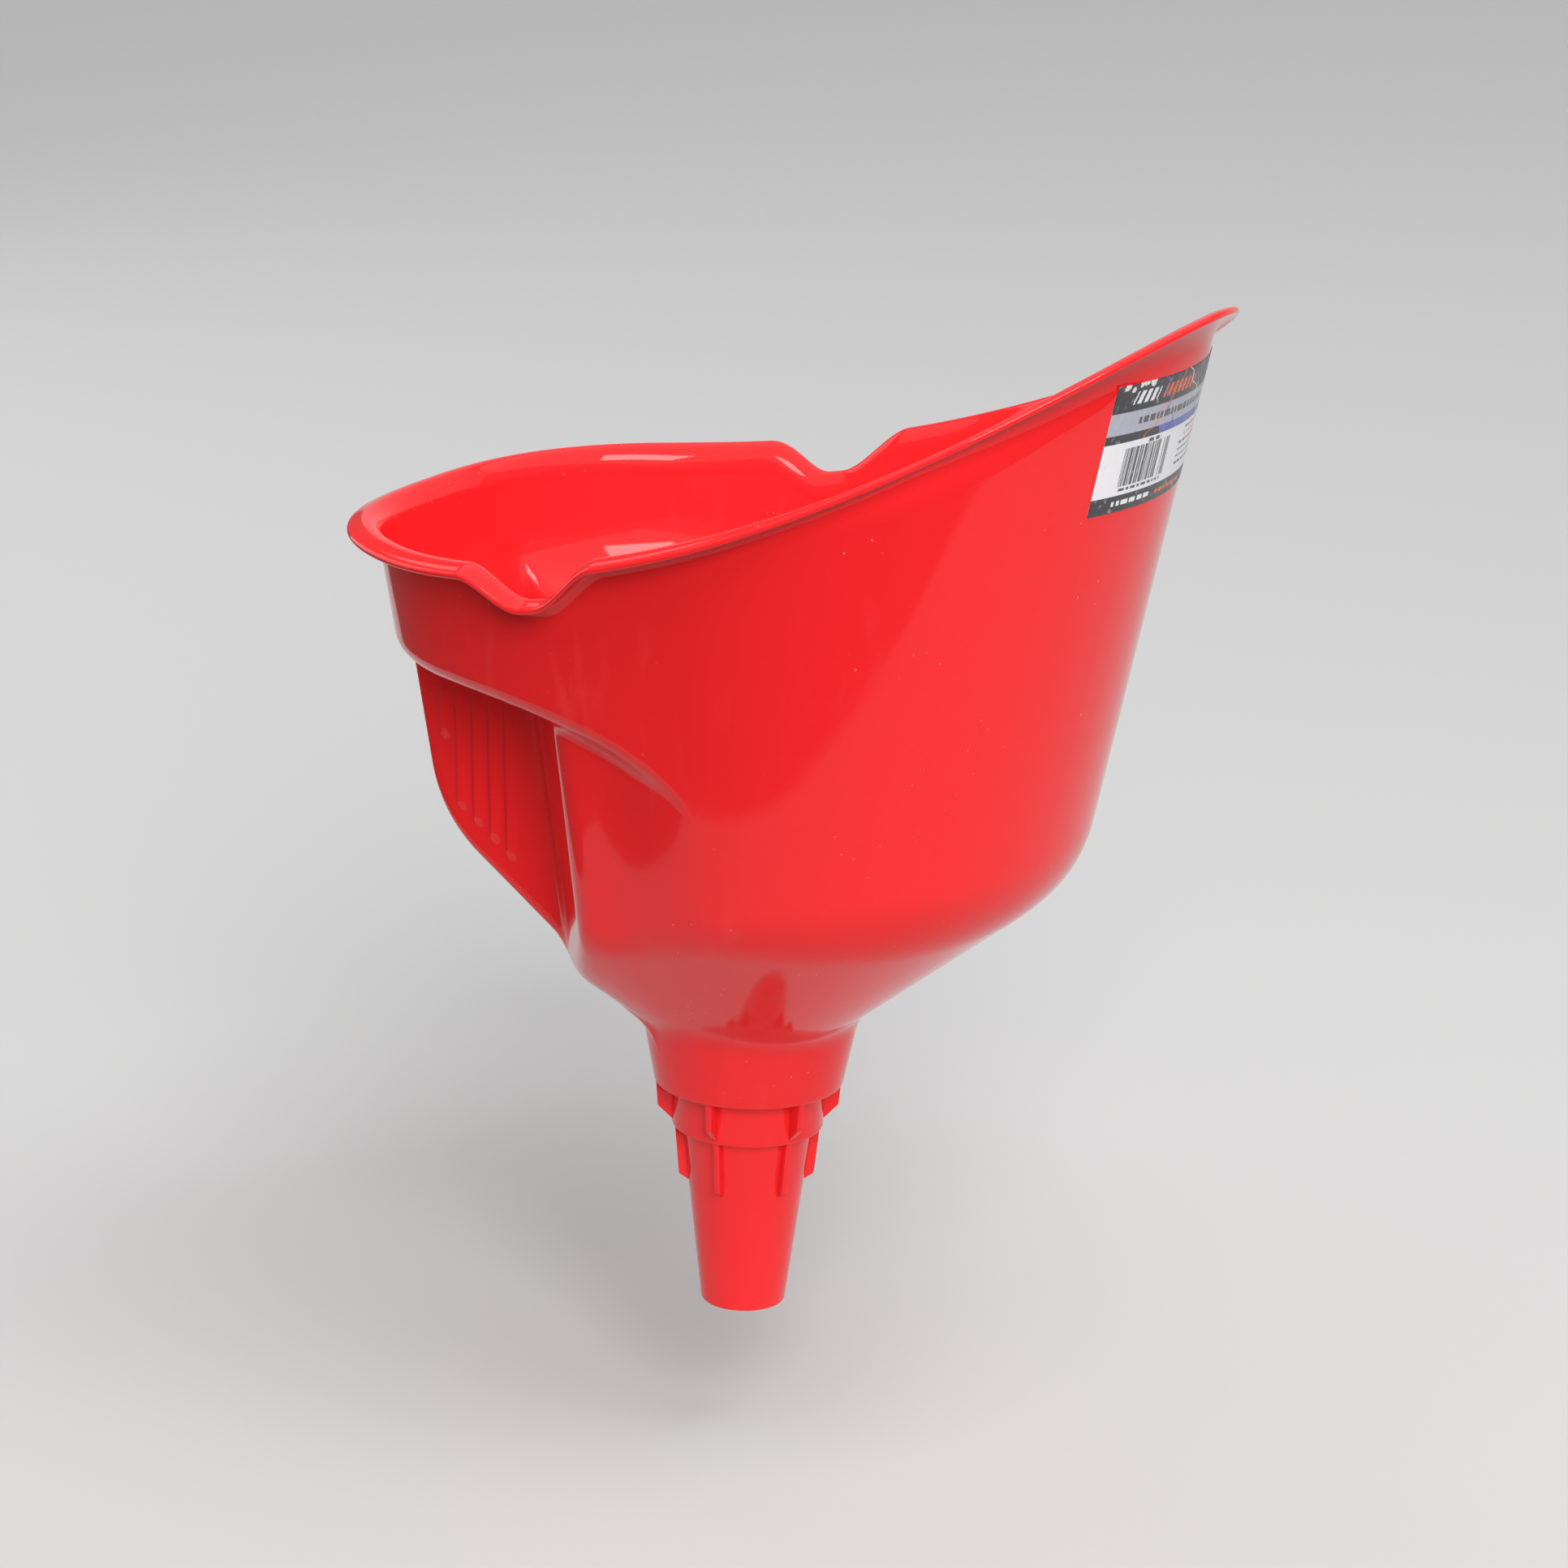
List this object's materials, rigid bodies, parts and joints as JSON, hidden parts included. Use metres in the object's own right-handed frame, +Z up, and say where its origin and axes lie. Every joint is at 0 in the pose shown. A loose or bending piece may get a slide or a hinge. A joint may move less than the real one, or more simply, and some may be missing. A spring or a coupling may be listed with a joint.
{
  "type": "fluid funnel",
  "caption": "Hand-held quick-fill funnel with a wide oval mouth, a high back, a hollow hand grip, pouring notches and a stepped, ribbed spout.",
  "frame": {"origin": "on the spout's axis, at the height of the neck's flat underside, which rests on a filler opening", "axes": "+Z up along the spout's axis towards the mouth; +X towards the high back; the part is symmetric about y = 0"},
  "size_m": [0.25, 0.217, 0.3137],
  "materials": {
    "red_plastic": "glossy injection-moulded polyethylene, lightly scuffed",
    "printed_film": "satin printed self-adhesive film"
  },
  "bodies": {
    "root": {"funnel_body": "red_plastic", "label": "printed_film"}
  },
  "joints": []
}
